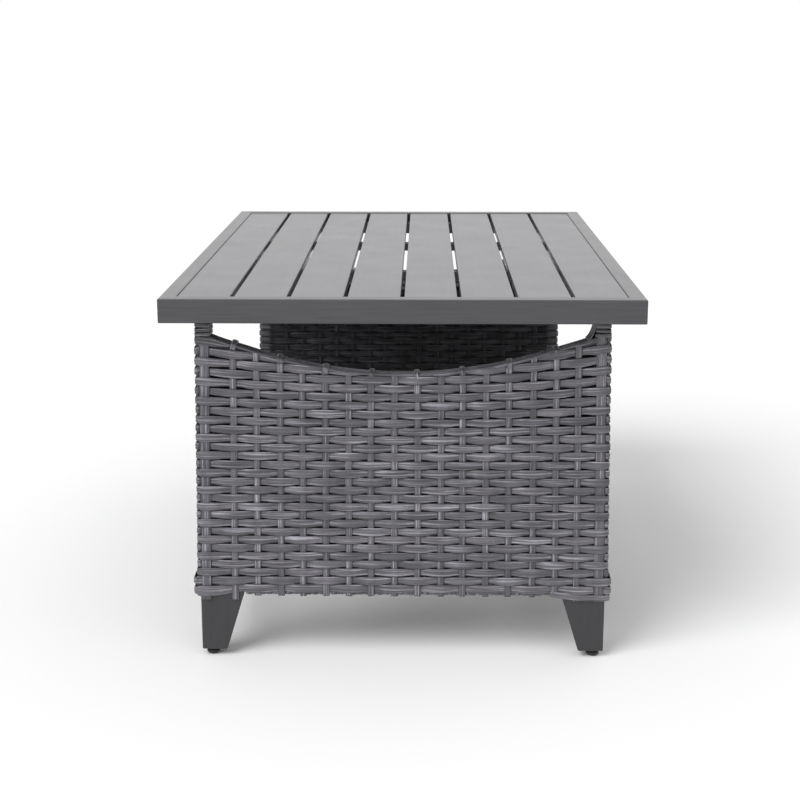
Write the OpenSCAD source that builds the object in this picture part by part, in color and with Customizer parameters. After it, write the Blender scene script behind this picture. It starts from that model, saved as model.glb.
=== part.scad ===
// Garden coffee table: a slatted metal top on two woven end panels with scooped top edges.
// X runs across the table, Y along it and Z up. The origin is on the ground, under the middle.
// The front end is the one at -Y, and left is -X.

/* [Top] */
// Width across the short ends
table_w = 610; // [602:1:700]
// Length along the long sides
table_l = 914; // [800:1:1100]
// Height of the top of the rails above the ground
table_h = 494; // [440:1:560]
// Width of each rail round the top
rail_w = 20.5; // [19:0.5:28]
// Depth of each rail round the top
rail_h = 31; // [29:1:45]
// Number of slats
slat_count = 8; // [6:1:8]
// Gap between one slat and the next
slat_gap = 5; // [3:0.5:6]
// Thickness of a slat
slat_t = 12; // [10:0.5:14]

/* [Woven ends] */
// How far the top stands out past the woven face at each end
overhang_end = 40; // [30:1:60]
// How far the top stands out past the woven panels at each side, just under the top
overhang_side = 38.5; // [37:0.5:42]
// How much wider a panel is at its foot than at its top, on each side
flare = 7; // [0:0.5:14]
// Radius of the scooped top edge of a panel
scoop_r = 612; // [560:1:800]
// Depth of the scoop's lowest point below the top of the table
scoop_drop = 105; // [95:1:130]
// Number of upright stakes between the two posts of a panel
stake_count = 16; // [10:1:20]
// Height of the woven hem above the ground at mid panel
hem_mid_z = 87; // [70:1:100]

/* [Legs and glides] */
// Width of a leg where it leaves the weave
leg_top_w = 56; // [44:1:64]
// Width of a leg at its foot
leg_foot_w = 33.5; // [30:0.5:40]
// Height of a leg's foot above the ground with its glide screwed home
leg_foot_z = 8.5; // [8:0.5:14]
// Radius of a glide's pad
pad_r = 8.6; // [8:0.1:14]
// Length of a glide's threaded stud above its collar
stud_l = 20; // [16:1:30]

/* [Hidden] */
half_w = table_w / 2;
half_l = table_l / 2;
ends = [["front", -1], ["back", 1]];
sides = [["left", -1], ["right", 1]];

// Top: the slats lie a little below the rails, on bearers and crossbars.
rail_z = table_h - rail_h;
rail_wall = 1.5;
rail_edge_r = 1.6;
slat_drop = 1.2;
slat_wall = 1.2;
slat_edge_r = 1.8;
slat_l = table_l - 2 * rail_w;
inner_w = table_w - 2 * rail_w;
slat_w = (inner_w - (slat_count - 1) * slat_gap) / slat_count;
slat_z = table_h - slat_drop - slat_t;
crossbar_w = 20;
crossbar_h = 12;
crossbar_y = slat_l / 6;
bearer_w = 24;
bar_wall = 1.5;
bar_edge_r = 1.5;
fit = 0.05;

// Panel section, from the outer face inwards: woven skin, stakes, tube, wrapping.
skin_t = 4;
stake_t = 2;
stake_w = 8.8;
tube_d = 19;
wrap_t = 3.5;
face_y = half_l - overhang_end;
skin_y = face_y - skin_t;
tube_front_y = skin_y - stake_t;
tube_back_y = tube_front_y - tube_d;
tube_mid_y = (tube_front_y + tube_back_y) / 2;
wrap_y = tube_back_y - wrap_t;

// Panel heights.
neck_half = half_w - overhang_side;
hem_corner_z = hem_mid_z - 5;
frame_z = hem_mid_z + 4;
tube_h = 19;
tube_wall = 1.5;
post_w = 15;
plate_t = 3;
post_top_z = rail_z - plate_t;
scoop_z = table_h - scoop_drop + scoop_r;
rim_t = 12;
rim_half = neck_half - wrap_t - post_w + 0.5;
scoop_end_z = scoop_z - sqrt(pow(scoop_r, 2) - pow(rim_half, 2));
corner_reach = 36;
inner_skin_inset = post_w + 2 * wrap_t + 0.2;
stretcher_x = body_half(frame_z + tube_h / 2) - wrap_t - post_w / 2;

// Legs.
leg_x = neck_half + flare - 4.5;
leg_front_y = skin_y - 1;
leg_d = 24;
leg_wall = 2.5;
leg_mid_y = leg_front_y - leg_d / 2;

// Levelling glides, screwed up into an insert in the foot of each leg.
glide_inset = 13.25;
glide_x = leg_x - glide_inset;
insert_r = 6.5;
insert_l = 13.5;
thread_r = 4;
collar_r = 7.4;
collar_gap = 0.2;
collar_t = 3;
collar_z = leg_foot_z - collar_gap - collar_t;
pad_h = collar_z - 0.3;
pad_flat_r = 5;
pad_dome_h = 3;
socket_r = 3;
socket_depth = pad_h - 1.6;

// Fasteners.
screw_r = 2;
screw_head_r = 4;
screw_head_t = 2.4;
outer_screw_inset = 4.5;
bolt_r = 3;
bolt_head_r = 5.4;
bolt_head_t = 3.3;
plate_l = 55;
plate_in_x = neck_half - 36;
bolt_inset = 8;

// Half width of the woven body at height z: it widens evenly towards the ground.
function body_half(z) = neck_half + flare * (rail_z - z) / (rail_z - hem_corner_z);

// Inner edge of a leg at height z.
function leg_in_x(z) =
    leg_x - leg_foot_w - (leg_top_w - leg_foot_w) * (z - leg_foot_z) / (hem_corner_z - leg_foot_z);

// Middle of slat i, counted from the left.
function slat_x(i) = -inner_w / 2 + (i - 0.5) * slat_w + (i - 1) * slat_gap;

// Screw of slat i in a bearer. The outer slats have theirs near the inner edge, clear of the post plates.
function bearer_screw_x(i) =
    slat_x(i) + (i == 1 ? 1 : i == slat_count ? -1 : 0) * (slat_w / 2 - outer_screw_inset);

// A piece made for the right-hand back corner, put at another corner.
module corner(e, s) {
    mirror([s < 0 ? 1 : 0, 0, 0])
        mirror([0, e < 0 ? 1 : 0, 0])
            children();
}

// A flat outline in X and Z, standing between two distances along Y.
module upright(y0, y1) {
    translate([0, y1, 0])
        rotate([90, 0, 0])
            linear_extrude(y1 - y0)
                children();
}

module round_rect(w, h, r) {
    square([w - 2 * r, h], center = true);
    square([w, h - 2 * r], center = true);
    for (x = [-1, 1], y = [-1, 1])
        translate([x * (w / 2 - r), y * (h / 2 - r)])
            circle(r, $fn = 48);
}

// Hollow bar with rounded edges along X, Y being its width.
module bar_x(l, w, h, r, wall) {
    rotate([90, 0, 90])
        linear_extrude(l, center = true)
            difference() {
                round_rect(w, h, r);
                square([w - 2 * wall, h - 2 * wall], center = true);
            }
}

module bar_y(l, w, h, r, wall) {
    rotate([0, 0, 90])
        bar_x(l, w, h, r, wall);
}

// ---- Top ----

module top_rail_end(e) {
    corner(e, 1)
        color("#5f5f64")
            intersection() {
                translate([0, half_l - rail_w / 2, rail_z + rail_h / 2])
                    bar_x(table_w, rail_w, rail_h, rail_edge_r, rail_wall);
                linear_extrude(table_h + 1)
                    polygon([
                        [-half_w, half_l],
                        [half_w, half_l],
                        [half_w - rail_w, half_l - rail_w],
                        [-half_w + rail_w, half_l - rail_w],
                    ]);
            }
}

module top_rail_side(s) {
    corner(1, s)
        color("#5f5f64")
            intersection() {
                translate([half_w - rail_w / 2, 0, rail_z + rail_h / 2])
                    bar_y(table_l, rail_w, rail_h, rail_edge_r, rail_wall);
                linear_extrude(table_h + 1)
                    polygon([
                        [half_w, -half_l],
                        [half_w, half_l],
                        [half_w - rail_w, half_l - rail_w],
                        [half_w - rail_w, -half_l + rail_w],
                    ]);
            }
}

// A screw hole under the slat at each of the bars that carry it.
module slat_screw_holes(r, z0, z1) {
    for (i = [1:slat_count], y = [-1, 1] * tube_mid_y)
        translate([bearer_screw_x(i), y, z0])
            cylinder(h = z1 - z0, r = r, $fn = 32);
    for (i = [1:slat_count], y = [-1, 1] * crossbar_y)
        translate([slat_x(i), y, z0])
            cylinder(h = z1 - z0, r = r, $fn = 32);
}

module slat(i) {
    color("#8c8c90")
        difference() {
            translate([slat_x(i), 0, slat_z + slat_t / 2])
                bar_y(slat_l, slat_w, slat_t, slat_edge_r, slat_wall);
            slat_screw_holes(screw_r, slat_z - 1, slat_z + slat_wall + 1);
        }
}

module crossbar(e) {
    color("#4b4b4e")
        difference() {
            translate([0, e * crossbar_y, slat_z - crossbar_h / 2])
                bar_x(inner_w, crossbar_w, crossbar_h, bar_edge_r, bar_wall);
            slat_screw_holes(screw_r + 0.2, slat_z - crossbar_h - 1, slat_z + 1);
        }
}

// The bar across each end that the posts are bolted to.
module bearer(e) {
    color("#4b4b4e")
        difference() {
            translate([0, e * tube_mid_y, (slat_z + rail_z) / 2])
                bar_x(inner_w, bearer_w, slat_z - rail_z, bar_edge_r, bar_wall);
            slat_screw_holes(screw_r + 0.2, rail_z - 1, slat_z + 1);
            top_bolt_holes(bolt_r, rail_z - 1, rail_z + bar_wall + 1);
        }
}

module screw(length) {
    cylinder(h = length, r = screw_r - fit, $fn = 32);
    translate([0, 0, -screw_head_t])
        cylinder(h = screw_head_t, r = screw_head_r, $fn = 32);
}

module slat_screws() {
    color("silver")
        for (i = [1:slat_count]) {
            for (y = [-1, 1] * tube_mid_y)
                translate([bearer_screw_x(i), y, rail_z])
                    screw(slat_z - rail_z + 5);
            for (y = [-1, 1] * crossbar_y)
                translate([slat_x(i), y, slat_z - crossbar_h])
                    screw(crossbar_h + 5);
        }
}

module top_bolt_holes(r, z0, z1) {
    for (sx = [-1, 1], sy = [-1, 1], x = [bolt_inset, plate_l - bolt_inset])
        translate([sx * (plate_in_x + x), sy * tube_mid_y, z0])
            cylinder(h = z1 - z0, r = r, $fn = 32);
}

// The plate welded on top of each post.
module post_plates() {
    color("#4b4b4e")
        difference() {
            for (sx = [-1, 1], sy = [-1, 1])
                translate([sx * (plate_in_x + plate_l / 2), sy * tube_mid_y, post_top_z + plate_t / 2])
                    cube([plate_l, tube_d + 3, plate_t], center = true);
            top_bolt_holes(bolt_r + 0.3, post_top_z - 1, rail_z + 1);
        }
}

module top_bolts() {
    color("silver")
        difference() {
            union() {
                top_bolt_holes(bolt_r - fit, post_top_z - bolt_head_t, rail_z + bar_wall + 6);
                top_bolt_holes(bolt_head_r, post_top_z - bolt_head_t, post_top_z);
            }
            for (sx = [-1, 1], sy = [-1, 1], x = [bolt_inset, plate_l - bolt_inset])
                translate([sx * (plate_in_x + x), sy * tube_mid_y, post_top_z - bolt_head_t - 1])
                    cylinder(h = 3, r = 2.3, $fn = 6);
        }
}

// ---- End panels ----

// Outline of a leaning bar w wide, whose outer edge is inset from the side of the woven body.
module leaning(z0, z1, inset, w) {
    polygon([
        [body_half(z0) - inset, z0],
        [body_half(z1) - inset, z1],
        [body_half(z1) - inset - w, z1],
        [body_half(z0) - inset - w, z0],
    ]);
}

module post(e, s) {
    corner(e, s)
        color("#4b4b4e")
            difference() {
                upright(tube_back_y, tube_front_y)
                    leaning(frame_z, post_top_z, wrap_t, post_w);
                upright(tube_back_y + tube_wall, tube_front_y - tube_wall)
                    leaning(frame_z - 1, post_top_z + 1, wrap_t + tube_wall, post_w - 2 * tube_wall);
            }
}

// Part of a ring round the centre of the scoop, between two radii, cut off at half_x each side.
module scoop_band(r0, r1, y0, y1, half_x) {
    intersection() {
        upright(y0, y1)
            translate([0, scoop_z])
                difference() {
                    circle(r1, $fn = 360);
                    circle(r0, $fn = 360);
                }
        translate([-half_x, y0 - 1, 0])
            cube([2 * half_x, y1 - y0 + 2, table_h]);
    }
}

module rim_tube(e) {
    corner(e, 1)
        color("#4b4b4e")
            difference() {
                scoop_band(scoop_r + wrap_t, scoop_r + wrap_t + rim_t, tube_back_y, tube_front_y, rim_half);
                scoop_band(
                    scoop_r + wrap_t + tube_wall,
                    scoop_r + wrap_t + rim_t - tube_wall,
                    tube_back_y + tube_wall,
                    tube_front_y - tube_wall,
                    rim_half + 1
                );
            }
}

module bottom_rail(e) {
    rail_half = body_half(frame_z + tube_h) - wrap_t - post_w;
    corner(e, 1)
        color("#4b4b4e")
            translate([0, tube_mid_y, frame_z + tube_h / 2])
                bar_x(2 * rail_half, tube_d, tube_h, bar_edge_r, tube_wall);
}

module stretcher(s) {
    color("#4b4b4e")
        translate([s * stretcher_x, 0, frame_z + tube_h / 2])
            bar_y(2 * tube_back_y, post_w, tube_h, bar_edge_r, tube_wall);
}

// The middle of stake i, which leans with the panel's sides.
function stake_x(i, z) =
    (i - (stake_count + 1) / 2) * 2 * (body_half(z) - wrap_t - post_w / 2) / (stake_count + 1);

module stakes(e) {
    corner(e, 1)
        color("#5a5a5e")
            difference() {
                upright(tube_front_y, skin_y)
                    for (i = [1:stake_count])
                        polygon([
                            [stake_x(i, frame_z) - stake_w / 2, frame_z + 0.5],
                            [stake_x(i, frame_z) + stake_w / 2, frame_z + 0.5],
                            [stake_x(i, rail_z) + stake_w / 2, rail_z],
                            [stake_x(i, rail_z) - stake_w / 2, rail_z],
                        ]);
                upright(tube_front_y - 1, skin_y + 1)
                    translate([0, scoop_z])
                        circle(scoop_r + wrap_t, $fn = 360);
            }
}

// The woven face, from post to post and from the scoop down to the hem, which drops at the corners.
module weave(e) {
    corner(e, 1)
        color("#6b6b70")
            upright(skin_y, face_y)
                difference() {
                    polygon([
                        [-body_half(scoop_end_z), scoop_end_z],
                        [body_half(scoop_end_z), scoop_end_z],
                        [body_half(hem_corner_z), hem_corner_z],
                        [body_half(hem_corner_z) - corner_reach, hem_corner_z],
                        [body_half(hem_corner_z) - 2 * corner_reach, hem_mid_z],
                        [-body_half(hem_corner_z) + 2 * corner_reach, hem_mid_z],
                        [-body_half(hem_corner_z) + corner_reach, hem_corner_z],
                        [-body_half(hem_corner_z), hem_corner_z],
                    ]);
                    translate([0, scoop_z])
                        circle(scoop_r, $fn = 360);
                }
}

// The woven skin on the inner face, between the posts, the rim and the bottom rail.
module inner_weave(e) {
    low = frame_z + tube_h + wrap_t;
    corner(e, 1)
        color("#55555a")
            upright(wrap_y, tube_back_y)
                difference() {
                    polygon([
                        [-body_half(scoop_end_z) + inner_skin_inset, scoop_end_z],
                        [body_half(scoop_end_z) - inner_skin_inset, scoop_end_z],
                        [body_half(low) - inner_skin_inset, low],
                        [-body_half(low) + inner_skin_inset, low],
                    ]);
                    translate([0, scoop_z])
                        circle(scoop_r + rim_t + 2 * wrap_t, $fn = 360);
                }
}

module rim_wrap(e) {
    corner(e, 1)
        color("#3c3c40")
            difference() {
                scoop_band(scoop_r, scoop_r + rim_t + 2 * wrap_t, wrap_y, tube_front_y, rim_half - wrap_t);
                scoop_band(scoop_r + wrap_t, scoop_r + wrap_t + rim_t, tube_back_y, skin_y, rim_half);
            }
}

// The binding round the bottom rail, between the legs.
module hem_wrap(e) {
    wrap_half = leg_in_x(frame_z) - 0.5;
    corner(e, 1)
        color("#3c3c40")
            difference() {
                translate([-wrap_half, wrap_y, frame_z - wrap_t])
                    cube([2 * wrap_half, tube_front_y - wrap_y, tube_h + 2 * wrap_t]);
                translate([-wrap_half - 1, tube_back_y, frame_z])
                    cube([2 * wrap_half + 2, skin_y - tube_back_y + 1, tube_h]);
            }
}

module post_wrap(e, s) {
    wrap_w = post_w + 2 * wrap_t;
    corner(e, s)
        color("#55555a")
            difference() {
                union() {
                    upright(wrap_y, skin_y)
                        leaning(frame_z + 0.5, post_top_z, 0, wrap_w);
                    upright(skin_y, face_y)
                        leaning(scoop_end_z, post_top_z, 0, wrap_w);
                }
                upright(tube_back_y, tube_front_y)
                    leaning(frame_z - 1, post_top_z + 1, wrap_t, post_w);
                // room for the bottom rail, the stretcher and the rim where they meet the post
                translate([0, tube_back_y, frame_z])
                    cube([body_half(frame_z) - wrap_t - 1, skin_y - tube_back_y, tube_h]);
                translate([0, wrap_y - 1, frame_z])
                    cube([body_half(frame_z) - wrap_t, wrap_t + 2, tube_h]);
                scoop_band(
                    scoop_r + wrap_t,
                    scoop_r + wrap_t + rim_t,
                    tube_back_y,
                    tube_front_y,
                    rim_half
                );
            }
}

module stretcher_wrap(s) {
    wrap_l = 2 * wrap_y - 1;
    color("#55555a")
        translate([s * stretcher_x, 0, frame_z + tube_h / 2])
            difference() {
                cube([post_w + 2 * wrap_t, wrap_l, tube_h + 2 * wrap_t], center = true);
                cube([post_w, wrap_l + 2, tube_h], center = true);
            }
}

// ---- Legs and glides ----

// Outline of a leg between two heights, inset by the same amount at both edges.
module leg_outline(z0, z1, inset) {
    polygon([
        [leg_in_x(z0) + inset, z0],
        [leg_x - inset, z0],
        [leg_x - inset, z1],
        [leg_in_x(z1) + inset, z1],
    ]);
}

module leg(e, s) {
    corner(e, s)
        color("#4b4b4e")
            difference() {
                upright(leg_front_y - leg_d, leg_front_y)
                    leg_outline(leg_foot_z, frame_z, 0);
                upright(leg_front_y - leg_d + leg_wall, leg_front_y - leg_wall)
                    leg_outline(leg_foot_z + leg_wall, frame_z - leg_wall, leg_wall);
                translate([glide_x, leg_mid_y, leg_foot_z - 1])
                    cylinder(h = leg_wall + 2, r = insert_r, $fn = 48);
            }
}

module glide_inserts() {
    color("silver")
        for (e = [-1, 1], s = [-1, 1])
            translate([s * glide_x, e * leg_mid_y, leg_foot_z])
                difference() {
                    cylinder(h = insert_l, r = insert_r, $fn = 48);
                    translate([0, 0, -1])
                        cylinder(h = insert_l + 2, r = thread_r + fit, $fn = 48);
                }
}

module glide_stud(e, s) {
    corner(e, s)
        color("silver")
            translate([glide_x, leg_mid_y, 0]) {
                translate([0, 0, pad_h - socket_depth + 0.4])
                    cylinder(h = collar_z - pad_h + socket_depth - 0.4, r = socket_r - fit, $fn = 48);
                translate([0, 0, collar_z])
                    cylinder(h = collar_t, r = collar_r, $fn = 6);
                translate([0, 0, collar_z + collar_t])
                    cylinder(h = stud_l, r = thread_r, $fn = 48);
            }
}

module glide_pad(e, s) {
    corner(e, s)
        color("#1a1a1c")
            translate([glide_x, leg_mid_y, 0])
                difference() {
                    rotate_extrude($fn = 64)
                        polygon(concat(
                            [[0, 0]],
                            [for (a = [0:15:90]) [
                                pad_flat_r + (pad_r - pad_flat_r) * sin(a),
                                pad_dome_h * (1 - cos(a)),
                            ]],
                            [[pad_r, pad_h - 0.6], [pad_r - 0.6, pad_h], [0, pad_h]]
                        ));
                    translate([0, 0, pad_h - socket_depth])
                        cylinder(h = socket_depth + 1, r = socket_r, $fn = 48);
                }
}

// ---- Assembly ----

for (e = ends) top_rail_end(e[1]);
for (s = sides) top_rail_side(s[1]);
for (i = [1:slat_count]) slat(i);
for (e = ends) crossbar(e[1]);
for (e = ends) bearer(e[1]);
slat_screws();
post_plates();
top_bolts();
for (e = ends) rim_tube(e[1]);
for (e = ends) bottom_rail(e[1]);
for (s = sides) stretcher(s[1]);
for (e = ends) stakes(e[1]);
for (e = ends) weave(e[1]);
for (e = ends) inner_weave(e[1]);
for (e = ends) rim_wrap(e[1]);
for (e = ends) hem_wrap(e[1]);
for (s = sides) stretcher_wrap(s[1]);
glide_inserts();
for (e = ends, s = sides) {
    post(e[1], s[1]);
    post_wrap(e[1], s[1]);
    leg(e[1], s[1]);
    glide_stud(e[1], s[1]);
    glide_pad(e[1], s[1]);
}
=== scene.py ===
"""Garden coffee table: looks for the slatted metal top, the two woven ends, the legs and the glides."""

import math
import random

import bmesh
import bpy
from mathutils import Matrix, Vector


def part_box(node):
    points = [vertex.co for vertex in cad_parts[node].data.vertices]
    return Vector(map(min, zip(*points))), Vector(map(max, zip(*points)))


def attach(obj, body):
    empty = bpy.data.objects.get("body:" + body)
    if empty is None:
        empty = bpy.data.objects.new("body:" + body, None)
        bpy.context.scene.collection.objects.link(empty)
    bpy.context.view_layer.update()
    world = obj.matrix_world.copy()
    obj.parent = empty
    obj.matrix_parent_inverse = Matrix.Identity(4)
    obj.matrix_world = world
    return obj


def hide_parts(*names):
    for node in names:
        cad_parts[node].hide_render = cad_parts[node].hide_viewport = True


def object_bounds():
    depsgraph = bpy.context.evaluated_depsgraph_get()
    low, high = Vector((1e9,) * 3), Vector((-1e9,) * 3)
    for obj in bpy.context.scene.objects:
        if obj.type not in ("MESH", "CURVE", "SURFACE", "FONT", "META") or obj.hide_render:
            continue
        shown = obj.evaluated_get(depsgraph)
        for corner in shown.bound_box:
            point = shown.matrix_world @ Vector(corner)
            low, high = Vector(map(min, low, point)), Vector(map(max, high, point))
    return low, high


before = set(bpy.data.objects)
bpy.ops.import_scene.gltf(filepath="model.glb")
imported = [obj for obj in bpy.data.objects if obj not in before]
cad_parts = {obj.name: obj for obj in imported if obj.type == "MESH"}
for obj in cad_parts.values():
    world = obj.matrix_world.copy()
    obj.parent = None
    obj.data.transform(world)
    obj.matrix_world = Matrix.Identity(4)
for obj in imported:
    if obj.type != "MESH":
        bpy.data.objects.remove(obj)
cad_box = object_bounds()

MM = 0.001
SEED = 11

FRONT, BACK = -1, 1
LEFT, RIGHT = -1, 1
END_NAMES = {FRONT: "front", BACK: "back"}
SIDE_NAMES = {LEFT: "left", RIGHT: "right"}


def corners_of(node):
    """Low and high corners of a CAD piece's box, in millimetres."""
    low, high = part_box(node)
    return low / MM, high / MM


# ---- Sizes, in millimetres. An end panel is drawn at y = d, its distance from the table's middle. ----

# The frame that the cane covers
TOP_Z = cad_box[1].z / MM
RAIL_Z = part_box("top_rail_front")[0].z / MM
PANEL_LOW, PANEL_HIGH = corners_of("weave_back")
TUBE_LOW, TUBE_HIGH = corners_of("rim_tube_back")
HEM_LOW, HEM_HIGH = corners_of("hem_wrap_back")
STRETCHER_LOW, STRETCHER_HIGH = corners_of("stretcher_right")
LEG_LOW, LEG_HIGH = corners_of("leg_back_right")
LEG_FOOT_W = 33.5
LEG_EDGE_R = 1.8

# Outline of an end panel
FACE_D = PANEL_HIGH.y
TUBE_MID_D = (TUBE_LOW.y + TUBE_HIGH.y) / 2
FLARE = 7.0
NECK_HALF = PANEL_HIGH.x - FLARE
HEM_CORNER_Z = PANEL_LOW.z
HEM_Z = HEM_CORNER_Z + 5.0
SCOOP_R = 612.0
SCOOP_LOW_Z = TOP_Z - 105.0
SCOOP_Z = SCOOP_LOW_Z + SCOOP_R
SCOOP_SAG = 2.6
SAG_SPAN = (195, 245)
SCOOP_END_X = 240

# Strands
STRAND_T = 2.2
THIN_T = 2.0
DARK_TONE = 0.3

# Rows, and how they move over the stakes and round the posts
ROW_PITCH = 11.36
FIRST_ROW = 9.9
ROW_W = 10.8
ROW_W_SWING = 0.9
ROW_STEP = 3.7
WEFT_SWING = 1.9
WEAVE_D = FACE_D - WEFT_SWING - STRAND_T / 2
BACK_D = TUBE_LOW.y - STRAND_T
POST_W = 22
TURN_W = 9.7
CORNER_REACH = 4
RIM_GAP = 1.2
THIN_END = 2.0

# How the upper rows rise to the sides, and how the lowest ones drop and bulge there
RISE_LIFT = {LEFT: 22, RIGHT: 28}
RISE_FROM_Z = 170
RISE_SPAN_Z = 270
RISE_AT_X = 250
LOW_ROWS = 2
ROW_DROP = {LEFT: (5.5, 2.4), RIGHT: (1.5, 0.8)}
DROP_SPAN = (205, 250)
HEM_BULGE = {LEFT: 4.6, RIGHT: 3.8}

# Stakes
STAKES = 18
STAKE_W = 8.8
STAKE_PITCH = 29.9
STAKE_SHIFT = 4.5
STAKE_JITTER = 1.3
STAKE_SWING = 0.45
STAKE_STEP = 3.6
LEAN_Z = 270
CORNER_STAKE_X = 257.0
CORNER_STAKE_W = 13.0
CORNER_STAKE_RISE = 6

# Inner layer
INNER_D = TUBE_LOW.y - 2.4
INNER_ROW_W = 12.5
INNER_SWING = 0.8


def smooth(value, low, high):
    """Eases from 0 at low to 1 at high."""
    t = min(max((value - low) / (high - low), 0.0), 1.0)
    return t * t * (3 - 2 * t)


def body_half(z):
    """Half width of the woven body, which widens evenly towards the ground."""
    return NECK_HALF + FLARE * (RAIL_Z - z) / (RAIL_Z - HEM_CORNER_Z)


def scoop_height(x):
    """Height of the scooped edge above the ground. It sags a little where it meets the posts."""
    return SCOOP_Z - math.sqrt(SCOOP_R**2 - x**2) - SCOOP_SAG * smooth(abs(x), *SAG_SPAN)


# ---- Mesh building ----


class Strands:
    """Gathers swept strands into one mesh, with each point's place on its strand and the strand's tone,
    which is 0 as painted shade inside the panel.
    """

    def __init__(self, seed, painted_shade_face=-math.inf):
        """Points nearer the middle of the table than this face get tone 0, which the cane material paints
        as shade, dark like the painted-shade inner cane.
        """
        self.painted_shade_face = painted_shade_face
        self.verts = []
        self.faces = []
        self.lay = []
        self.tone = []
        self.rng = random.Random(seed)

    def sweep(self, path, across, widths, profile, closed=False):
        """Sweeps a profile along path. across and widths give the strand's width at each point."""
        count, ring = len(path), len(profile)
        start = len(self.verts)
        number, tone = self.rng.uniform(0, 50), self.rng.uniform(DARK_TONE, 1)
        along = 0.0
        for i, point in enumerate(path):
            if closed:
                tangent = path[(i + 1) % count] - path[i - 1]
            else:
                tangent = path[min(i + 1, count - 1)] - path[max(i - 1, 0)]
            tangent.normalize()
            wide = across[i] - tangent * tangent.dot(across[i])
            wide.normalize()
            out = wide.cross(tangent)
            half = widths[i] / 2
            along += (point - path[max(i - 1, 0)]).length
            for u, b in profile:
                self.verts.append((point + wide * (u * half) + out * b) * MM)
                self.lay.append((along, u * half + 40 * number, b))
                # Points inside the panel get tone 0, which the cane material turns into painted shade.
                self.tone.append(tone if point.y > self.painted_shade_face else 0.0)
        for i in range(count if closed else count - 1):
            a, b = start + i * ring, start + ((i + 1) % count) * ring
            for j in range(ring):
                k = (j + 1) % ring
                self.faces.append((a + j, a + k, b + k, b + j))
        if not closed:
            self.faces.append(tuple(start + j for j in range(ring))[::-1])
            self.faces.append(tuple(start + (count - 1) * ring + j for j in range(ring)))

    def build(self, name, material, end=BACK):
        """Makes the object. The panels are drawn for the back end, and the front is their mirror image."""
        verts = [(v.x, v.y * end, v.z) for v in self.verts]
        piece = mesh_object(name, verts, self.faces, material)
        lay = piece.data.attributes.new("lay", "FLOAT_VECTOR", "POINT")
        lay.data.foreach_set("vector", [value for place in self.lay for value in place])
        # The tone attribute also carries the painted shade, as tone 0, inside the panel.
        tone = piece.data.attributes.new("tone", "FLOAT", "POINT")
        tone.data.foreach_set("value", self.tone)
        return piece


def mesh_object(name, verts, faces, material, smooth_faces=True):
    """A linked object with one material and its faces turned outwards."""
    mesh = bpy.data.meshes.new(name)
    mesh.from_pydata([tuple(v) for v in verts], [], faces)
    work = bmesh.new()
    work.from_mesh(mesh)
    bmesh.ops.recalc_face_normals(work, faces=work.faces)
    work.to_mesh(mesh)
    work.free()
    mesh.polygons.foreach_set("use_smooth", [smooth_faces] * len(mesh.polygons))
    mesh.materials.append(material)
    piece = bpy.data.objects.new(name, mesh)
    bpy.context.collection.objects.link(piece)
    return piece


def strand_profile(rng, thickness=STRAND_T, ridge=0.26, outer=13):
    """Section of a flat cane: an outer face with two or three ridges and a plain inner face.

    The points are (place across the width from -1 to 1, millimetres outwards).
    """
    phase = rng.uniform(0, 2 * math.pi)
    waves = rng.uniform(1.0, 1.5)
    squareness = 3.2
    points = []
    for i in range(outer):
        u = -1 + 2 * i / (outer - 1)
        body = thickness / 2 * math.sqrt(max(0.0, 1 - abs(u) ** squareness))
        points.append((u, body + ridge * math.cos(2 * math.pi * waves * u + phase) * (1 - u**4)))
    for u in (0.72, 0.0, -0.72):
        points.append((u, -thickness / 2 * math.sqrt(1 - abs(u) ** squareness)))
    return points


def round_profile(radius, sides=10):
    """Section of a round strand, in the same terms as strand_profile."""
    steps = [2 * math.pi * i / sides for i in range(sides)]
    return [(math.cos(a), radius * math.sin(a)) for a in steps]


def bezier(start, bend, stop, t):
    """Point at t of the curve that leaves start and reaches stop in line with bend."""
    return start * (1 - t) ** 2 + bend * 2 * t * (1 - t) + stop * t**2


def fillet(before, here, after, radius, arc_points=4):
    """Points of a rounded turn at here."""
    into, away = (before - here).normalized(), (after - here).normalized()
    start, stop = here + into * radius, here + away * radius
    return [bezier(start, here, stop, k / arc_points) for k in range(arc_points + 1)]


def rounded_loop(corners, radius, step=4.0):
    """Closed path through corners, with rounded turns."""
    path = []
    count = len(corners)
    for i in range(count):
        before, here, after = corners[i - 1], corners[i], corners[(i + 1) % count]
        path += fillet(before, here, after, radius)
        reach = (after - here).length - 2 * radius
        extra = int(reach // step)
        along = (after - here).normalized()
        for k in range(1, extra + 1):
            path.append(here + along * (radius + reach * k / (extra + 1)))
    return path


def ring_round(strands, rng, corners, width, across, radius=2.6, thickness=STRAND_T):
    """One closed turn of cane round a tube."""
    path = rounded_loop(corners, radius)
    profile = strand_profile(rng, thickness)
    strands.sweep(path, [across] * len(path), [width] * len(path), profile, closed=True)


def even_sweep(strands, path, across, width, profile):
    """A strand with the same width and the same direction of its width all along."""
    strands.sweep(path, [across] * len(path), [width] * len(path), profile)


# ---- Materials ----


def node_material(name):
    """(material, its node tree, its main shader)."""
    material = bpy.data.materials.new(name)
    material.use_nodes = True
    tree = material.node_tree
    shader = tree.nodes["Principled BSDF"]
    return material, tree, shader


def scaled_noise(tree, scale, stretch, detail=4.0, roughness=0.55):
    """Noise in object space, stretched by a different scale along each axis."""
    coords = tree.nodes.new("ShaderNodeTexCoord")
    mapping = tree.nodes.new("ShaderNodeMapping")
    mapping.inputs["Scale"].default_value = stretch
    noise = tree.nodes.new("ShaderNodeTexNoise")
    noise.inputs["Scale"].default_value = scale
    noise.inputs["Detail"].default_value = detail
    noise.inputs["Roughness"].default_value = roughness
    tree.links.new(coords.outputs["Object"], mapping.inputs["Vector"])
    tree.links.new(mapping.outputs["Vector"], noise.inputs["Vector"])
    return noise.outputs["Fac"]


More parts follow.
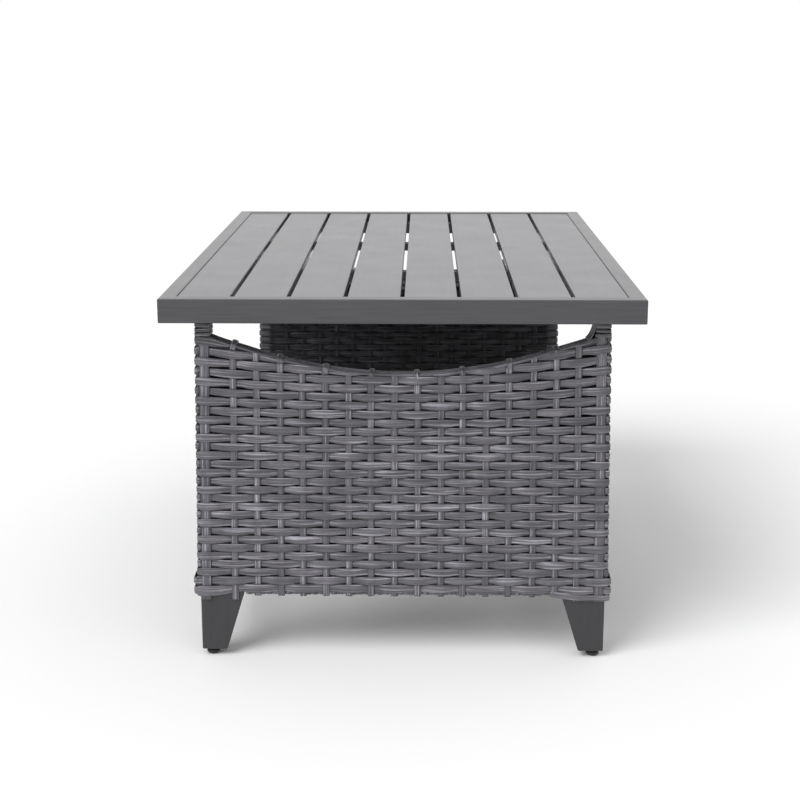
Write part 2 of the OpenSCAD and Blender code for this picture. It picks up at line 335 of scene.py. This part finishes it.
def ramp(tree, factor, stops):
    """Colour of a factor, between (position, colour) stops."""
    node = tree.nodes.new("ShaderNodeValToRGB")
    while len(node.color_ramp.elements) < len(stops):
        node.color_ramp.elements.new(0.5)
    for element, (position, colour) in zip(node.color_ramp.elements, stops):
        element.position = position
        element.color = (*colour, 1.0)
    tree.links.new(factor, node.inputs["Fac"])
    return node.outputs["Color"]


def grey(value, warmth=0.0):
    """A grey with a slight violet cast."""
    return (value * (1.01 + warmth), value * 0.98, value * 1.08)


def mix_colours(tree, a, b, factor, mode="MIX"):
    """Two colours mixed by a fixed factor."""
    node = tree.nodes.new("ShaderNodeMix")
    node.data_type = "RGBA"
    node.blend_type = mode
    node.inputs["Factor"].default_value = factor
    tree.links.new(a, node.inputs["A"])
    tree.links.new(b, node.inputs["B"])
    return node.outputs["Result"]


def map_range(tree, value, low, high):
    """A value from 0 to 1, moved to run from low to high."""
    node = tree.nodes.new("ShaderNodeMapRange")
    node.inputs["To Min"].default_value = low
    node.inputs["To Max"].default_value = high
    tree.links.new(value, node.inputs["Value"])
    return node.outputs["Result"]


def bump(tree, shader, height, strength, distance, normal=None):
    """Raises the surface by height, over an earlier bump's normal where there is one."""
    node = tree.nodes.new("ShaderNodeBump")
    node.inputs["Strength"].default_value = strength
    node.inputs["Distance"].default_value = distance
    tree.links.new(height, node.inputs["Height"])
    if normal is not None:
        tree.links.new(normal, node.inputs["Normal"])
    tree.links.new(node.outputs["Normal"], shader.inputs["Normal"])
    return node.outputs["Normal"]


def powder_coat(name, tone, roughness, grain, contrast=0.16, coat=0.0):
    """Powder-coated metal: fine drawn streaks, a faint cloudiness and an orange-peel surface."""
    material, tree, shader = node_material(name)
    streaks = scaled_noise(tree, 9.0, grain, detail=6.0)
    clouds = scaled_noise(tree, 14.0, (1, 1, 1), detail=3.0)
    dark, light = grey(tone * (1 - contrast)), grey(tone * (1 + contrast), 0.01)
    streak_colour = ramp(tree, streaks, [(0.3, dark), (0.7, light)])
    cloud_colour = ramp(tree, clouds, [(0.3, grey(tone * 0.93)), (0.7, grey(tone * 1.07))])
    colour = mix_colours(tree, streak_colour, cloud_colour, 0.4)
    tree.links.new(colour, shader.inputs["Base Color"])
    tree.links.new(map_range(tree, clouds, roughness - 0.06, roughness + 0.06), shader.inputs["Roughness"])
    peel = scaled_noise(tree, 1400.0, (1, 1, 1), detail=2.0)
    bump(tree, shader, peel, 0.12, 0.0002)
    shader.inputs["Coat Weight"].default_value = coat
    shader.inputs["Coat Roughness"].default_value = 0.25
    return material


def strand_noise(tree, lay, scale, detail):
    """Noise that runs with a strand. scale is per millimetre along it, across it and through it."""
    mapping = tree.nodes.new("ShaderNodeMapping")
    mapping.inputs["Scale"].default_value = scale
    noise = tree.nodes.new("ShaderNodeTexNoise")
    noise.inputs["Scale"].default_value = 1.0
    noise.inputs["Detail"].default_value = detail
    tree.links.new(lay, mapping.inputs["Vector"])
    tree.links.new(mapping.outputs["Vector"], noise.inputs["Vector"])
    return noise.outputs["Fac"]


def attribute(tree, name, output):
    """A value stored on the strands."""
    node = tree.nodes.new("ShaderNodeAttribute")
    node.attribute_name = name
    return node.outputs[output]


def cane(name, tone, specular=0.5):
    """Synthetic cane: long streaks, a few bright ribs, darker and lighter lengths, and a fine grain.

    Each strand has its own tone, and inside the panel it falls to the lowest one, a painted shade.
    """
    material, tree, shader = node_material(name)
    lay = attribute(tree, "lay", "Vector")
    streaks = strand_noise(tree, lay, (0.012, 0.56, 0.3), 3.0)
    grain = strand_noise(tree, lay, (0.16, 3.4, 3.4), 4.0)
    lengths = strand_noise(tree, lay, (0.03, 0.01, 0.0), 2.0)
    streak_stops = [
        (0.36, grey(tone * 0.55)),
        (0.48, grey(tone * 0.9)),
        (0.57, grey(tone * 1.15)),
        (0.65, grey(tone * 2.7, -0.01)),
    ]
    streak_colour = ramp(tree, streaks, streak_stops)
    grain_colour = ramp(tree, grain, [(0.34, (0.66, 0.66, 0.67)), (0.68, (1.3, 1.3, 1.3))])
    length_colour = ramp(tree, lengths, [(0.36, (0.8, 0.79, 0.8)), (0.64, (1.2, 1.2, 1.2))])
    # The stop at 0 is painted shade for strand parts inside the panel; from DARK_TONE up is each strand's
    # own tone.
    tone_and_shade_stops = [(0.0, (0.34, 0.34, 0.35)), (DARK_TONE, (0.8, 0.8, 0.81)), (1.0, (1.2, 1.19, 1.19))]
    strand_tone_and_shade = ramp(tree, attribute(tree, "tone", "Fac"), tone_and_shade_stops)
    colour = mix_colours(tree, streak_colour, grain_colour, 0.8, "MULTIPLY")
    colour = mix_colours(tree, colour, length_colour, 1.0, "MULTIPLY")
    colour = mix_colours(tree, colour, strand_tone_and_shade, 1.0, "MULTIPLY")
    tree.links.new(colour, shader.inputs["Base Color"])
    tree.links.new(map_range(tree, streaks, 0.42, 0.26), shader.inputs["Roughness"])
    shader.inputs["Specular IOR Level"].default_value = specular
    ribs = bump(tree, shader, streaks, 0.6, 0.0006)
    bump(tree, shader, grain, 0.35, 0.0002, ribs)
    return material


def plated_steel(name):
    """Zinc-plated screws and bolts."""
    material, tree, shader = node_material(name)
    shader.inputs["Metallic"].default_value = 1.0
    grain = scaled_noise(tree, 500.0, (1, 1, 0.15), detail=4.0)
    colour = ramp(tree, grain, [(0.3, (0.42, 0.42, 0.43)), (0.7, (0.62, 0.62, 0.61))])
    tree.links.new(colour, shader.inputs["Base Color"])
    tree.links.new(map_range(tree, grain, 0.3, 0.5), shader.inputs["Roughness"])
    bump(tree, shader, grain, 0.2, 0.0001)
    return material


def black_oxide(name):
    """Dark threaded steel."""
    material, tree, shader = node_material(name)
    shader.inputs["Metallic"].default_value = 0.7
    grain = scaled_noise(tree, 600.0, (1, 1, 1), detail=4.0)
    colour = ramp(tree, grain, [(0.3, (0.02, 0.02, 0.022)), (0.7, (0.05, 0.05, 0.052))])
    tree.links.new(colour, shader.inputs["Base Color"])
    tree.links.new(map_range(tree, grain, 0.35, 0.55), shader.inputs["Roughness"])
    bump(tree, shader, grain, 0.2, 0.0001)
    return material


def moulded_black(name):
    """Black moulded plastic, a little worn."""
    material, tree, shader = node_material(name)
    grain = scaled_noise(tree, 900.0, (1, 1, 1), detail=3.0)
    wear = scaled_noise(tree, 120.0, (1, 1, 1), detail=3.0)
    colour = ramp(tree, wear, [(0.35, (0.008, 0.008, 0.009)), (0.75, (0.02, 0.02, 0.021))])
    tree.links.new(colour, shader.inputs["Base Color"])
    tree.links.new(map_range(tree, wear, 0.4, 0.6), shader.inputs["Roughness"])
    bump(tree, shader, grain, 0.3, 0.0002)
    return material


SLAT_COAT = powder_coat("slat_coat", 0.115, 0.3, (22, 1.2, 22), contrast=0.12, coat=0.06)
END_RAIL_COAT = powder_coat("end_rail_coat", 0.05, 0.32, (1.6, 24, 60), contrast=0.3, coat=0.2)
SIDE_RAIL_COAT = powder_coat("side_rail_coat", 0.072, 0.32, (24, 1.6, 60), contrast=0.25, coat=0.2)
FRAME_COAT = powder_coat("frame_coat", 0.05, 0.45, (20, 20, 20))
LEG_COAT = powder_coat("leg_coat", 0.031, 0.42, (30, 30, 2.0))
CANE = cane("cane", 0.118)
# The same cane, painted far darker and given little shine: painted shade for the inside of the panel.
SHADED_INNER_CANE = cane("inner_cane_painted_shade", 0.02, specular=0.12)
STEEL = plated_steel("plated_steel")
BLACK = moulded_black("moulded_black")
OXIDE = black_oxide("black_oxide")


# ---- Weave of an end panel ----


def row_rise(level, x):
    """How far a row has risen at x. The upper rows curve up to the sides, a little more at the right."""
    lift = RISE_LIFT[LEFT if x < 0 else RIGHT]
    return lift * max(0.0, (level - RISE_FROM_Z) / RISE_SPAN_Z) ** 3 * (x / RISE_AT_X) ** 2


def row_levels():
    """Heights of the rows at the middle of the panel, up to the last one that meets the left-hand post."""
    levels = []
    level = HEM_Z + FIRST_ROW
    post_x, margin = CORNER_STAKE_X - 10, 4
    while level + row_rise(level, -RISE_AT_X) < scoop_height(post_x) + margin:
        levels.append(level)
        level += ROW_PITCH
    return levels


LEVELS = row_levels()
UNCUT_Z = SCOOP_LOW_Z - 2
TOP_ROW = max(k for k, level in enumerate(LEVELS) if level < UNCUT_Z)


def stake_places():
    """Places of the stakes across the panel, at LEAN_Z. The corner ones stand on the posts."""
    rng = random.Random(SEED)
    middle = (STAKES - 1) / 2
    inner = [
        STAKE_SHIFT + (i - middle) * STAKE_PITCH + rng.uniform(-STAKE_JITTER, STAKE_JITTER)
        for i in range(1, STAKES - 1)
    ]
    return [-CORNER_STAKE_X, *inner, CORNER_STAKE_X]


STAKE_X = stake_places()


def lean(x, z):
    """Where a stake that is at x at LEAN_Z stands at height z, as the panel's sides lean."""
    return x * body_half(z) / body_half(LEAN_Z)


def stake_shows(index, row):
    """Whether a stake passes in front of that row."""
    return (index + row + TOP_ROW) % 2 == 0


def row_drop(row, x):
    """How far a row drops over the legs. Only the lowest ones do."""
    if row >= LOW_ROWS:
        return 0.0
    drop = ROW_DROP[LEFT if x < 0 else RIGHT][row]
    return drop * smooth(abs(x), *DROP_SPAN)


def row_height(level, row, x):
    """Height of a row at x. A row that drops is widened upwards, so the weave stays closed."""
    return level + row_rise(level, x) - (row_drop(row, x) + row_drop(row + 1, x)) / 2


def weave_swing(row, x, level):
    """(how far the row stands in front of the stakes, its width there) at x.

    It swings from stake to stake, and past the corner ones it settles towards the middle.
    """
    xs = [lean(s, level) for s in STAKE_X]
    signs = [-1 if stake_shows(i, row) else 1 for i in range(STAKES)]
    if x <= xs[0] or x >= xs[-1]:
        sign = signs[0] if x <= xs[0] else signs[-1]
        settle_x, settle = 12.0, 0.75
        past = min(abs(x) - xs[-1], settle_x) / settle_x
        swing = sign * (1 - settle * smooth(past, 0, 1))
    else:
        i = max(j for j in range(STAKES) if xs[j] <= x)
        t = (x - xs[i]) / (xs[i + 1] - xs[i])
        swing = signs[i] * math.cos(math.pi * t)
    flattened = math.copysign(abs(swing) ** 0.7, swing)
    width = ROW_W + ROW_W_SWING * swing + row_drop(row, x) - row_drop(row + 1, x)
    return WEFT_SWING * flattened, width


def cut_to_scoop(level, row, x):
    """(middle height, width) of a row at x, where the part of it above the scooped rim is cut off."""
    middle = row_height(level, row, x)
    width = weave_swing(row, x, level)[1]
    top = min(middle + width / 2, scoop_height(x) - RIM_GAP)
    bottom = middle - width / 2
    return (top + bottom) / 2, max(top - bottom, 0.0)


def weft_rows(end):
    """The level strands, woven over the stakes and taken round the posts.

    A row that the scoop cuts is two strands, and each starts thin under the rim.
    """
    rng = random.Random(SEED + end)
    # Strand parts behind the tube's front face, round the backs of the posts, get painted shade.
    strands = Strands(rng.random(), TUBE_LOW.y)
    up = Vector((0, 0, 1))
    for row, level in enumerate(LEVELS):
        corner_z = {side: row_height(level, row, side * CORNER_STAKE_X) for side in SIDE_NAMES}
        flat = body_half(level) - STRAND_T / 2 + rng.uniform(-0.5, 0.4)
        outer = {side: flat + (HEM_BULGE[side] if row < LOW_ROWS else 0.0) for side in SIDE_NAMES}
        inner = body_half(level) - POST_W + STRAND_T / 2
        jitter = rng.uniform(-0.3, 0.3)
        profile = strand_profile(rng)
        width_scale = rng.uniform(0.96, 1.03)
        start = 0.0
        if level > UNCUT_Z:
            start = next(x for x in range(260) if cut_to_scoop(level, row, x)[1] > THIN_END)
        for to_left, to_right in [(True, True)] if start == 0 else [(True, False), (False, True)]:
            path, widths = [], []
            if to_left:
                path += post_turn(LEFT, inner, outer[LEFT], corner_z[LEFT])
            x0 = -(outer[LEFT] - CORNER_REACH) if to_left else start
            x1 = outer[RIGHT] - CORNER_REACH if to_right else -start
            steps = max(4, int((x1 - x0) / ROW_STEP))
            for i in range(steps + 1):
                x = x0 + (x1 - x0) * i / steps
                swing, _ = weave_swing(row, x, level)
                path.append(Vector((x, WEAVE_D + swing, cut_to_scoop(level, row, x)[0] + jitter)))
            if to_right:
                path += post_turn(RIGHT, inner, outer[RIGHT], corner_z[RIGHT])
            for point in path:
                reach = outer[RIGHT] if point.x > 0 else outer[LEFT]
                turned = abs(point.x) > reach - CORNER_REACH + 0.1 or point.y < TUBE_HIGH.y - 1
                wide = TURN_W if turned else cut_to_scoop(level, row, point.x)[1]
                widths.append(wide * width_scale)
            strands.sweep(path, [up] * len(path), widths, profile)
    corner_binding(strands, rng)
    return strands


def corner_binding(strands, rng):
    """The strand that finishes the right-hand corner, from the hem down over the leg and round the post."""
    width = 8.6
    start_x, start_z = 196.0, HEM_Z + 3.0
    low = HEM_CORNER_Z + 3.6
    outer = body_half(low) + 2.2 - STRAND_T / 2
    path = []
    steps = 20
    for i in range(steps + 1):
        x = start_x + (outer - 6 - start_x) * i / steps
        z = low + (start_z - low) * (1 - smooth(x, start_x, start_x + 42))
        path.append(Vector((x, WEAVE_D + 1.2 * smooth(x, start_x, start_x + 12), z)))
    path += post_turn(RIGHT, body_half(low) - 20, outer, low)[1:]
    even_sweep(strands, path, Vector((0, 0, 1)), width, strand_profile(rng))


def post_turn(side, inner, outer, z):
    """The part of a row that goes round a post, between the panel's inside and its outer front corner.

    It climbs a little on the way round the back.
    """
    corners = [
        Vector((side * inner, TUBE_HIGH.y - 2.5, z)),
        Vector((side * inner, BACK_D, z + 0.8)),
        Vector((side * outer, BACK_D, z + 1.4)),
        Vector((side * outer, WEAVE_D, z)),
        Vector((side * (outer - 7), WEAVE_D, z)),
    ]
    long_reach = 12
    path = [corners[0]]
    for before, here, after in zip(corners, corners[1:], corners[2:]):
        if (here - path[-1]).length > long_reach:
            path.append((path[-1] + here) / 2)
        path += fillet(before, here, after, 3.4)
    return path if side == LEFT else path[::-1]


def stake_rods(end):
    """The upright strands, which bow a little between the rows, and a wide one down each post's side."""
    rng = random.Random(SEED + 7 * end)
    strands = Strands(rng.random())
    across = Vector((1, 0, 0))
    corner_top = scoop_height(SCOOP_END_X) + CORNER_STAKE_RISE
    for index, x0 in enumerate(STAKE_X):
        corner_stake = index in (0, STAKES - 1)
        over_leg = index in (0, 1, STAKES - 2, STAKES - 1)
        low = HEM_CORNER_Z - 1.5 if over_leg else HEM_Z - 0.5
        high = corner_top if corner_stake else scoop_height(min(abs(x0), SCOOP_END_X)) - 1.5
        width = CORNER_STAKE_W if corner_stake else STAKE_W
        sign = 1 if stake_shows(index, 0) else -1
        profile = strand_profile(rng, 2.4, 0.3)
        path, widths = [], []
        steps = int((high - low) / STAKE_STEP)
        for i in range(steps + 1):
            z = low + (high - low) * i / steps
            x = lean(x0, z)
            level = z - row_rise(z, x)
            phase = (level - LEVELS[0]) / ROW_PITCH
            path.append(Vector((x, WEAVE_D + sign * STAKE_SWING * math.cos(math.pi * phase), z)))
            widths.append(width + rng.uniform(-0.1, 0.1))
        strands.sweep(path, [across] * len(path), widths, profile)
    for side in SIDE_NAMES:
        low, high = HEM_CORNER_Z + 1, corner_top
        path = [Vector((side * (body_half(z) - 3.4), TUBE_MID_D, z)) for z in (low, (low + high) / 2, high)]
        even_sweep(strands, path, Vector((0, 1, 0)), 18.0, strand_profile(rng, 1.8))
    return strands


def inner_rows(end):
    """The second, inner layer of level strands, between the posts and round the ends of the hem."""
    rng = random.Random(SEED + 31 * end)
    strands = Strands(rng.random())
    up = Vector((0, 0, 1))
    cut_r = SCOOP_R + 21
    for row, level in enumerate(LEVELS):
        half = body_half(level) - 18.0
        start = 0
        if level < HEM_HIGH.z:
            start = HEM_HIGH.x - 6
        elif level > SCOOP_Z - cut_r:
            start = next(x for x in range(300) if level < SCOOP_Z - math.sqrt(cut_r**2 - x**2))
        if start > half - 7:
            continue
        profile = strand_profile(rng, outer=7)
        for x0, x1 in [(-half, half)] if start == 0 else [(-half, -start), (start, half)]:
            steps = max(4, int((x1 - x0) / 4.8))
            path = []
            for i in range(steps + 1):
                x = x0 + (x1 - x0) * i / steps
                swing, _ = weave_swing(row, x, level)
                path.append(Vector((x, INNER_D - INNER_SWING * swing, level)))
            even_sweep(strands, path, up, INNER_ROW_W, profile)
    return strands


def inner_uprights(end):
    """The uprights of the inner layer."""
    rng = random.Random(SEED + 37 * end)
    strands = Strands(rng.random())
    across = Vector((1, 0, 0))
    cut_r = SCOOP_R + 18
    low = HEM_HIGH.z - 2
    for index in range(1, STAKES - 1):
        high = SCOOP_Z - math.sqrt(cut_r**2 - STAKE_X[index] ** 2)
        steps = int((high - low) / 5)
        sign = -1 if stake_shows(index, 0) else 1
        path = []
        for i in range(steps + 1):
            z = low + (high - low) * i / steps
            phase = (z - LEVELS[0]) / ROW_PITCH
            d = INNER_D + sign * 0.4 * math.cos(math.pi * phase)
            path.append(Vector((lean(STAKE_X[index], z), d, z)))
        even_sweep(strands, path, across, STAKE_W, strand_profile(rng, outer=7))
    return strands


def along_scoop(strands, d, radius, width, profile, across, half):
    """A strand that follows the scoop at a radius from its centre, as far as half to each side."""
    steps = 130
    path = []
    for i in range(steps + 1):
        x = -half + 2 * half * i / steps
        path.append(Vector((x, d, scoop_height(x) - (radius - SCOOP_R))))
    even_sweep(strands, path, across, width, profile)


def corner_lashing(strands, rng, back):
    """Strands that round off the corner between the rim and the right-hand post."""
    foot_x, post_x = 236.0, NECK_HALF - 21.0
    foot = Vector((foot_x, 0, scoop_height(foot_x) - 0.4))
    bend = Vector((post_x - 1.8, 0, scoop_height(post_x) + 1.0))
    top = Vector((post_x + 1.5, 0, RAIL_Z - 2.0))
    steps = 10
    for d in (back + 4.6, back + 13.4, back + 21.8):
        path = [bezier(foot, bend, top, k / steps) + Vector((0, d, 0)) for k in range(steps + 1)]
        even_sweep(strands, path, Vector((0, 1, 0)), 8.4, strand_profile(rng, 3.2))


def tie_down(strands, rng, stake_x, back):
    """The end of a stake, turned over the rim and back under it."""
    x = lean(stake_x, scoop_height(stake_x))
    top = scoop_height(x) + 0.3
    under = top - 21
    lean_over = rng.uniform(-1.5, 1.5)
    slope = Vector((1, 0, x / SCOOP_R))
    corners = [
        Vector((x, FACE_D - 1.2, top - 7)),
        Vector((x + lean_over, FACE_D - 1.0, top)),
        Vector((x + lean_over, back - 1.6, top)),
        Vector((x, back - 1.6, under)),
        Vector((x, FACE_D - 8.5, under)),
    ]
    path = [corners[0]]
    for before, here, after in zip(corners, corners[1:], corners[2:]):
        path.append((path[-1] + here) / 2)
        path += fillet(before, here, after, 2.4)
    path.append(corners[-1])
    even_sweep(strands, path, slope, 7.6, strand_profile(rng, THIN_T, 0.25))


def rim_strands(end):
    """Strands along the scooped rim, tied down by the ends of every second stake."""
    rng = random.Random(SEED + 3 * end)
    strands = Strands(rng.random())
    back = TUBE_LOW.y - THIN_T
    half = NECK_HALF - 20.5
    width = 8.2
    level, upright = Vector((0, 1, 0)), Vector((0, 0, 1))
    # Over the tube, with a round strand along its front edge
    for d in (back + 4.6, back + 13.6, back + 22.0):
        along_scoop(strands, d, SCOOP_R + 1.6, width, strand_profile(rng, THIN_T), level, half)
    along_scoop(strands, FACE_D - 3.0, SCOOP_R + 1.4, 3.4, round_profile(1.7), level, half + 2)
    # Down its inner side to the top of the inner layer, and under it
    for radius in (SCOOP_R + 5.6, SCOOP_R + 14.2):
        along_scoop(strands, back, radius, width, strand_profile(rng, THIN_T), upright, half)
    along_scoop(strands, back - 1.6, SCOOP_R + 22.4, 8.6, strand_profile(rng, THIN_T), upright, half)
    for d in (back + 5.5, back + 14.5):
        along_scoop(strands, d, SCOOP_R + 18.8, width, strand_profile(rng, THIN_T), level, half)
    corner_lashing(strands, rng, back)
    for index in range(1, STAKES - 1):
        if not stake_shows(index, TOP_ROW):
            tie_down(strands, rng, STAKE_X[index], back)
    return strands


def neck_rings(side, end):
    """Turns of narrow cane round the top of a post, above the weave."""
    rng = random.Random(SEED + 13 * end + 5 * side)
    # The backs of the rings, behind the tube's front face, get painted shade.
    strands = Strands(rng.random(), TUBE_LOW.y)
    up = Vector((0, 0, 1))
    front = FACE_D - 1.6
    low, high = scoop_height(SCOOP_END_X) + 5.5, RAIL_Z - 5.0
    pitch, width = 5.6, 5.1
    turns = round((high - low) / pitch)
    for i in range(turns + 1):
        z = low + (high - low) * i / turns
        outer = side * (body_half(z) - 1.0 + rng.uniform(-0.5, 0.3))
        inner = side * (body_half(z) - 21.0 + rng.uniform(-0.3, 0.5))
        tilt = rng.uniform(-0.6, 0.6)
        corners = [
            Vector((outer, front, z + tilt)),
            Vector((inner, front, z - tilt)),
            Vector((inner, BACK_D, z)),
            Vector((outer, BACK_D, z)),
        ]
        ring_round(strands, rng, corners, width, up, radius=3.2, thickness=THIN_T)
    return strands


def hem_turns(end):
    """Turns of cane round the bottom rail, which make the knobbly lower edge."""
    rng = random.Random(SEED + 17 * end)
    strands = Strands(rng.random())
    across = Vector((1, 0, 0))
    half = HEM_HIGH.x - 5
    front, high = TUBE_HIGH.y - 0.2, HEM_HIGH.z - 1.2
    pitch, width = 8.7, 9.1
    turns = int(2 * half / pitch)
    for i in range(turns + 1):
        x = -half + 2 * half * i / turns
        low = HEM_LOW.z + 0.4 - rng.uniform(0.0, 0.9)
        slant = rng.uniform(0.4, 1.0)
        corners = [
            Vector((x + slant, front, low)),
            Vector((x - slant, front, high)),
            Vector((x - slant, BACK_D, high)),
            Vector((x + slant, BACK_D, low)),
        ]
        ring_round(strands, rng, corners, width, across)
    return strands


def stretcher_turns(side):
    """Turns of cane round a side stretcher."""
    rng = random.Random(SEED + 23 * side)
    strands = Strands(rng.random())
    across = Vector((0, 1, 0))
    middle = (STRETCHER_LOW + STRETCHER_HIGH) / 2
    stand_off = 2.0
    half_x = (STRETCHER_HIGH.x - STRETCHER_LOW.x) / 2 + stand_off
    half_z = (STRETCHER_HIGH.z - STRETCHER_LOW.z) / 2 + stand_off
    reach = TUBE_LOW.y - 8.5
    pitch = 9.1
    turns = int(2 * reach / pitch)
    for i in range(turns + 1):
        y = -reach + 2 * reach * i / turns
        slant = rng.uniform(0.6, 1.4)
        corners = [
            Vector((side * (middle.x + half_x), y - slant, middle.z - half_z)),
            Vector((side * (middle.x + half_x), y + slant, middle.z + half_z)),
            Vector((side * (middle.x - half_x), y + slant, middle.z + half_z)),
            Vector((side * (middle.x - half_x), y - slant, middle.z - half_z)),
        ]
        width = 8.7 + rng.uniform(-0.2, 0.2)
        ring_round(strands, rng, corners, width, across)
    return strands


def add_piece(piece, slot, *nodes):
    """Puts a piece on the table's body, in place of the CAD nodes that are named."""
    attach(piece, "table")
    if nodes:
        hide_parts(*nodes)


def make_end(end):
    """The woven pieces of one end panel."""
    name = END_NAMES[end]
    add_piece(weft_rows(end).build(f"weft_{name}", CANE, end), "wicker", f"weave_{name}")
    add_piece(stake_rods(end).build(f"uprights_{name}", CANE, end), "wicker", f"stakes_{name}")
    # The inner layer is built in the inner cane, whose dark colour is painted shade.
    inner = inner_rows(end).build(f"inner_weft_{name}", SHADED_INNER_CANE, end)
    add_piece(inner, "wicker", f"inner_weave_{name}")
    add_piece(inner_uprights(end).build(f"inner_uprights_{name}", SHADED_INNER_CANE, end), "wicker")
    add_piece(rim_strands(end).build(f"rim_binding_{name}", CANE, end), "wicker", f"rim_wrap_{name}")
    add_piece(hem_turns(end).build(f"hem_binding_{name}", CANE, end), "wicker", f"hem_wrap_{name}")
    for side, side_name in SIDE_NAMES.items():
        piece = neck_rings(side, end).build(f"neck_binding_{name}_{side_name}", CANE, end)
        add_piece(piece, "wicker", f"post_wrap_{name}_{side_name}")


for end in (FRONT, BACK):
    make_end(end)
for side, side_name in SIDE_NAMES.items():
    piece = stretcher_turns(side).build(f"stretcher_binding_{side_name}", CANE)
    add_piece(piece, "wicker", f"stretcher_wrap_{side_name}")


# ---- Legs ----


def tapered_leg(side, end):
    """A leg with its outer side upright, its inner side sloping and its edges eased."""
    outer, foot, top = LEG_HIGH.x, LEG_LOW.z, LEG_HIGH.z
    foot_in, top_in = outer - LEG_FOOT_W, LEG_LOW.x
    outline = [(foot_in, foot), (outer, foot), (outer, top), (top_in, top)]
    verts = [(side * x * MM, end * d * MM, z * MM) for d in (LEG_LOW.y, LEG_HIGH.y) for x, z in outline]
    faces = [(0, 1, 2, 3), (7, 6, 5, 4)] + [(i, i + 4, (i + 1) % 4 + 4, (i + 1) % 4) for i in range(4)]
    name = f"leg_shell_{END_NAMES[end]}_{SIDE_NAMES[side]}"
    piece = mesh_object(name, verts, faces, LEG_COAT, smooth_faces=False)
    work = bmesh.new()
    work.from_mesh(piece.data)
    bmesh.ops.bevel(
        work,
        geom=work.edges[:],
        offset=LEG_EDGE_R * MM,
        offset_type="OFFSET",
        segments=4,
        profile=0.5,
        affect="EDGES",
    )
    bmesh.ops.recalc_face_normals(work, faces=work.faces)
    work.to_mesh(piece.data)
    work.free()
    piece.data.polygons.foreach_set("use_smooth", [True] * len(piece.data.polygons))
    piece.modifiers.new("even", "WEIGHTED_NORMAL")
    return piece


for end in (FRONT, BACK):
    for side in SIDE_NAMES:
        add_piece(tapered_leg(side, end), "frame", f"leg_{END_NAMES[end]}_{SIDE_NAMES[side]}")


# ---- Finishes of the CAD pieces ----

FINISHES = {
    "slat_screws": STEEL,
    "slat_": SLAT_COAT,
    "top_rail_front": END_RAIL_COAT,
    "top_rail_back": END_RAIL_COAT,
    "top_rail_": SIDE_RAIL_COAT,
    "top_bolts": STEEL,
    "glide_pad": BLACK,
    "glide_stud": OXIDE,
    "glide_inserts": STEEL,
}

for node_name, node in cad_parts.items():
    match = next((m for start, m in FINISHES.items() if node_name.startswith(start)), FRAME_COAT)
    node.data.materials.clear()
    node.data.materials.append(match)


# ---- Floor, light and camera ----


def make_floor():
    """A wide pale floor, a hair below the feet."""
    material, tree, shader = node_material("pale_floor")
    cloud = scaled_noise(tree, 0.6, (1, 1, 1))
    colour = ramp(tree, cloud, [(0.0, (0.9, 0.9, 0.9)), (1.0, (0.94, 0.94, 0.94))])
    tree.links.new(colour, shader.inputs["Base Color"])
    shader.inputs["Roughness"].default_value = 0.9
    reach, gap = 14.0, 0.0005
    corners = [(-reach, -reach, 0), (reach, -reach, 0), (reach, reach, 0), (-reach, reach, 0)]
    floor = mesh_object("floor", corners, [(0, 1, 2, 3)], material, smooth_faces=False)
    floor.location.z = cad_box[0].z - gap


def make_sun(name, azimuth, elevation, spread, strength):
    """A wide, even lamp. Angles are in degrees, and azimuth is from the front towards the right."""
    data = bpy.data.lights.new(name, "SUN")
    data.angle = math.radians(spread)
    data.energy = strength
    light = bpy.data.objects.new(name, data)
    turn, rise = math.radians(azimuth), math.radians(elevation)
    toward = Vector((math.sin(turn) * math.cos(rise), -math.cos(turn) * math.cos(rise), math.sin(rise)))
    light.rotation_euler = toward.to_track_quat("Z", "Y").to_euler()
    bpy.context.collection.objects.link(light)


def make_world(ambient):
    """A white surround, whose soft light on matt surfaces is turned down so that the lamps shape them."""
    world = bpy.data.worlds.new("studio")
    world.use_nodes = True
    tree = world.node_tree
    rays = tree.nodes.new("ShaderNodeLightPath")
    strength = tree.nodes.new("ShaderNodeMapRange")
    strength.inputs["To Min"].default_value = 1.0
    strength.inputs["To Max"].default_value = ambient
    tree.links.new(rays.outputs["Is Diffuse Ray"], strength.inputs["Value"])
    background = tree.nodes["Background"]
    background.inputs["Color"].default_value = (1, 1, 1, 1)
    tree.links.new(strength.outputs["Result"], background.inputs["Strength"])
    bpy.context.scene.world = world


def make_camera():
    """The photo's camera: before the front end, a little above the top, looking slightly down."""
    data = bpy.data.cameras.new("camera")
    data.sensor_width = 36
    data.lens = 69.48
    camera = bpy.data.objects.new("camera", data)
    camera.location = Vector((26.3, -2346.7, TOP_Z + 335.4)) * MM
    pitch = math.radians(13.784)
    yaw = -0.01526
    forward = Vector((yaw, 1.0, 0)).normalized() * math.cos(pitch) - Vector((0, 0, math.sin(pitch)))
    camera.rotation_euler = forward.to_track_quat("-Z", "Y").to_euler()
    bpy.context.collection.objects.link(camera)
    bpy.context.scene.camera = camera


bpy.context.scene.view_settings.view_transform = "Standard"
make_floor()
make_sun("key", azimuth=-46, elevation=40, spread=40, strength=2.0)
make_sun("overhead", azimuth=20, elevation=80, spread=90, strength=1.3)
make_world(ambient=0.3)
make_camera()
